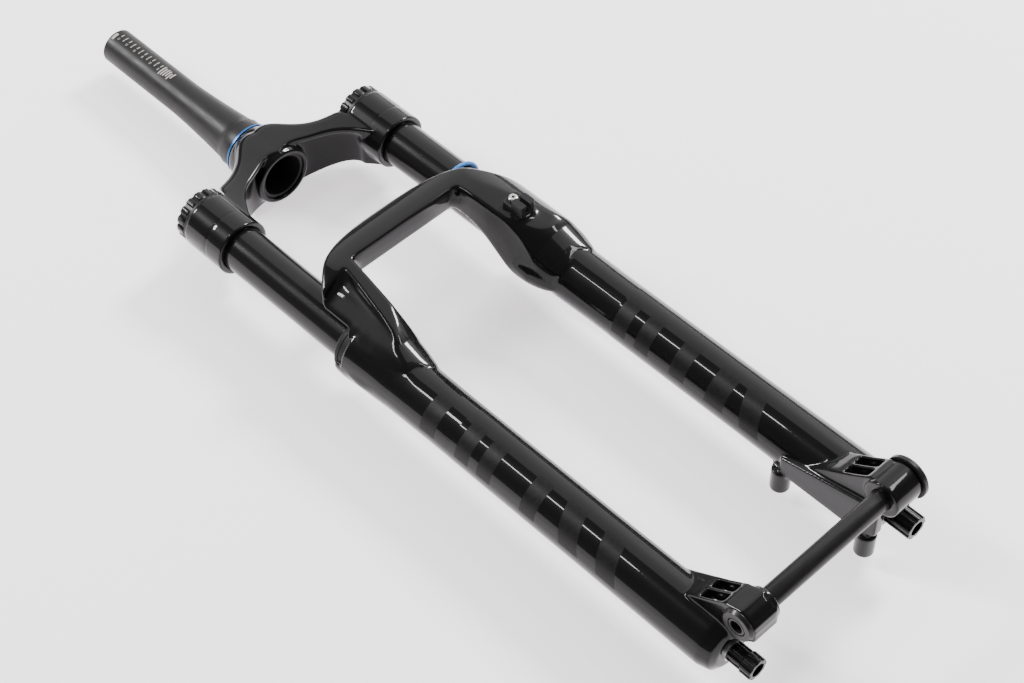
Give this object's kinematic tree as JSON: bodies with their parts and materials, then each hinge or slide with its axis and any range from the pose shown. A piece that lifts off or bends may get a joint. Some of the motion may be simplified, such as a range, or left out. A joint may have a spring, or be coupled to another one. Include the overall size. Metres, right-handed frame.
{
  "type": "bicycle suspension fork",
  "caption": "Air-sprung single-crown suspension fork with tapered steerer, front arch, thru-axle and rear brake posts; the lower legs slide on the stanchions.",
  "frame": {"origin": "centre of the crown-race seat, on the steerer's axis", "axes": "+Y up the steerer, parallel to the legs; +Z to the fork's front (the arch and axle side); +X to the rider's left, the brake side. The fork lies on its back."},
  "size_m": [0.2042, 0.7495, 0.0917],
  "materials": {
    "steerer_black_anodised": "satin",
    "crown_gloss_black": "gloss",
    "race_ring_blue": "satin",
    "stanchion_black_anodised": "polished",
    "lowers_gloss_black_paint": "gloss",
    "cap_black_anodised": "satin",
    "plug_black_anodised": "satin",
    "valve_brass": "machined",
    "seal_black_rubber": "matt",
    "o_ring_blue_rubber": "satin",
    "foam_grey": "matt",
    "bushing_bronze": "satin",
    "spring_steel": "satin",
    "washer_aluminium": "satin",
    "spacer_plastic": "matt",
    "shaft_aluminium": "polished",
    "machined_aluminium": "machined",
    "axle_black_anodised": "satin",
    "guide_black_plastic": "satin",
    "screw_stainless": "polished"
  },
  "bodies": {
    "upper_assembly": {"steerer_tube": "steerer_black_anodised", "crown_race_ring": "race_ring_blue", "crown": "crown_gloss_black", "left_stanchion": "stanchion_black_anodised", "right_stanchion": "stanchion_black_anodised", "air_top_plug": "plug_black_anodised", "air_valve": "valve_brass", "volume_spacer": "spacer_plastic", "air_seal_head": "machined_aluminium", "left_retaining_ring": "spring_steel", "damper_top_plug": "plug_black_anodised", "damper_cartridge": "machined_aluminium", "compression_base_valve": "machined_aluminium", "damper_seal_head": "machined_aluminium", "right_retaining_ring": "spring_steel"},
    "lower_assembly": {"air_foot_nut": "cap_black_anodised", "air_piston": "machined_aluminium", "air_piston_seal": "seal_black_rubber", "air_shaft": "shaft_aluminium", "axle_thread_insert": "axle_black_anodised", "damper_foot_nut": "cap_black_anodised", "damper_piston": "machined_aluminium", "damper_rod": "shaft_aluminium", "hose_guide": "guide_black_plastic", "hose_guide_screw": "screw_stainless", "left_crush_washer": "washer_aluminium", "left_foam_ring": "foam_grey", "left_lower_bushing": "bushing_bronze", "left_upper_bushing": "bushing_bronze", "left_wiper_seal": "seal_black_rubber", "lower_legs": "lowers_gloss_black_paint", "piston_glide_ring": "spacer_plastic", "right_crush_washer": "washer_aluminium", "right_foam_ring": "foam_grey", "right_lower_bushing": "bushing_bronze", "right_upper_bushing": "bushing_bronze", "right_wiper_seal": "seal_black_rubber", "top_out_bumper": "seal_black_rubber"},
    "air_cap": {"air_valve_cap": "cap_black_anodised"},
    "high_speed_dial": {"compression_dial": "cap_black_anodised"},
    "low_speed_adjuster": {"low_speed_knob": "cap_black_anodised"},
    "gas_piston": {"floating_piston": "machined_aluminium"},
    "travel_indicator": {"travel_o_ring": "o_ring_blue_rubber"},
    "axle": {"thru_axle": "axle_black_anodised"},
    "rebound_adjuster": {"rebound_knob": "cap_black_anodised", "rebound_needle": "shaft_aluminium"}
  },
  "joints": [
    {"name": "fork_travel", "type": "slide", "parent": "upper_assembly", "child": "lower_assembly", "axis": [0, 1, 0], "range_m": [0, 0.1], "stiffness_N_per_m": 9000},
    {"name": "gas_piston_slide", "type": "slide", "parent": "upper_assembly", "child": "gas_piston", "axis": [0, 1, 0], "range_m": [0, 0.0155]},
    {"name": "travel_indicator_slide", "type": "slide", "parent": "upper_assembly", "child": "travel_indicator", "axis": [0, 1, 0], "range_m": [0, 0.051]},
    {"name": "air_cap_turn", "type": "hinge", "parent": "upper_assembly", "child": "air_cap", "pos_m": [0.0775, -0.042, 0.015], "axis": [0, 1, 0], "range_deg": [0, 720]},
    {"name": "high_speed_dial_turn", "type": "hinge", "parent": "upper_assembly", "child": "high_speed_dial", "pos_m": [-0.0775, -0.042, 0.015], "axis": [0, 1, 0], "range_deg": [0, 300]},
    {"name": "low_speed_turn", "type": "hinge", "parent": "upper_assembly", "child": "low_speed_adjuster", "pos_m": [-0.0775, -0.038, 0.015], "axis": [0, 1, 0], "range_deg": [0, 300]},
    {"name": "rebound_turn", "type": "hinge", "parent": "lower_assembly", "child": "rebound_adjuster", "pos_m": [-0.0775, -0.583, 0.015], "axis": [0, -1, 0], "range_deg": [0, 720]},
    {"name": "axle_withdraw", "type": "slide", "parent": "lower_assembly", "child": "axle", "axis": [1, 0, 0], "range_m": [0, 0.17]}
  ],
  "couplings": [
    {"joint": "gas_piston_slide", "follows": "fork_travel", "ratio": 0.15},
    {"joint": "travel_indicator_slide", "follows": "fork_travel", "ratio": 0.5}
  ]
}
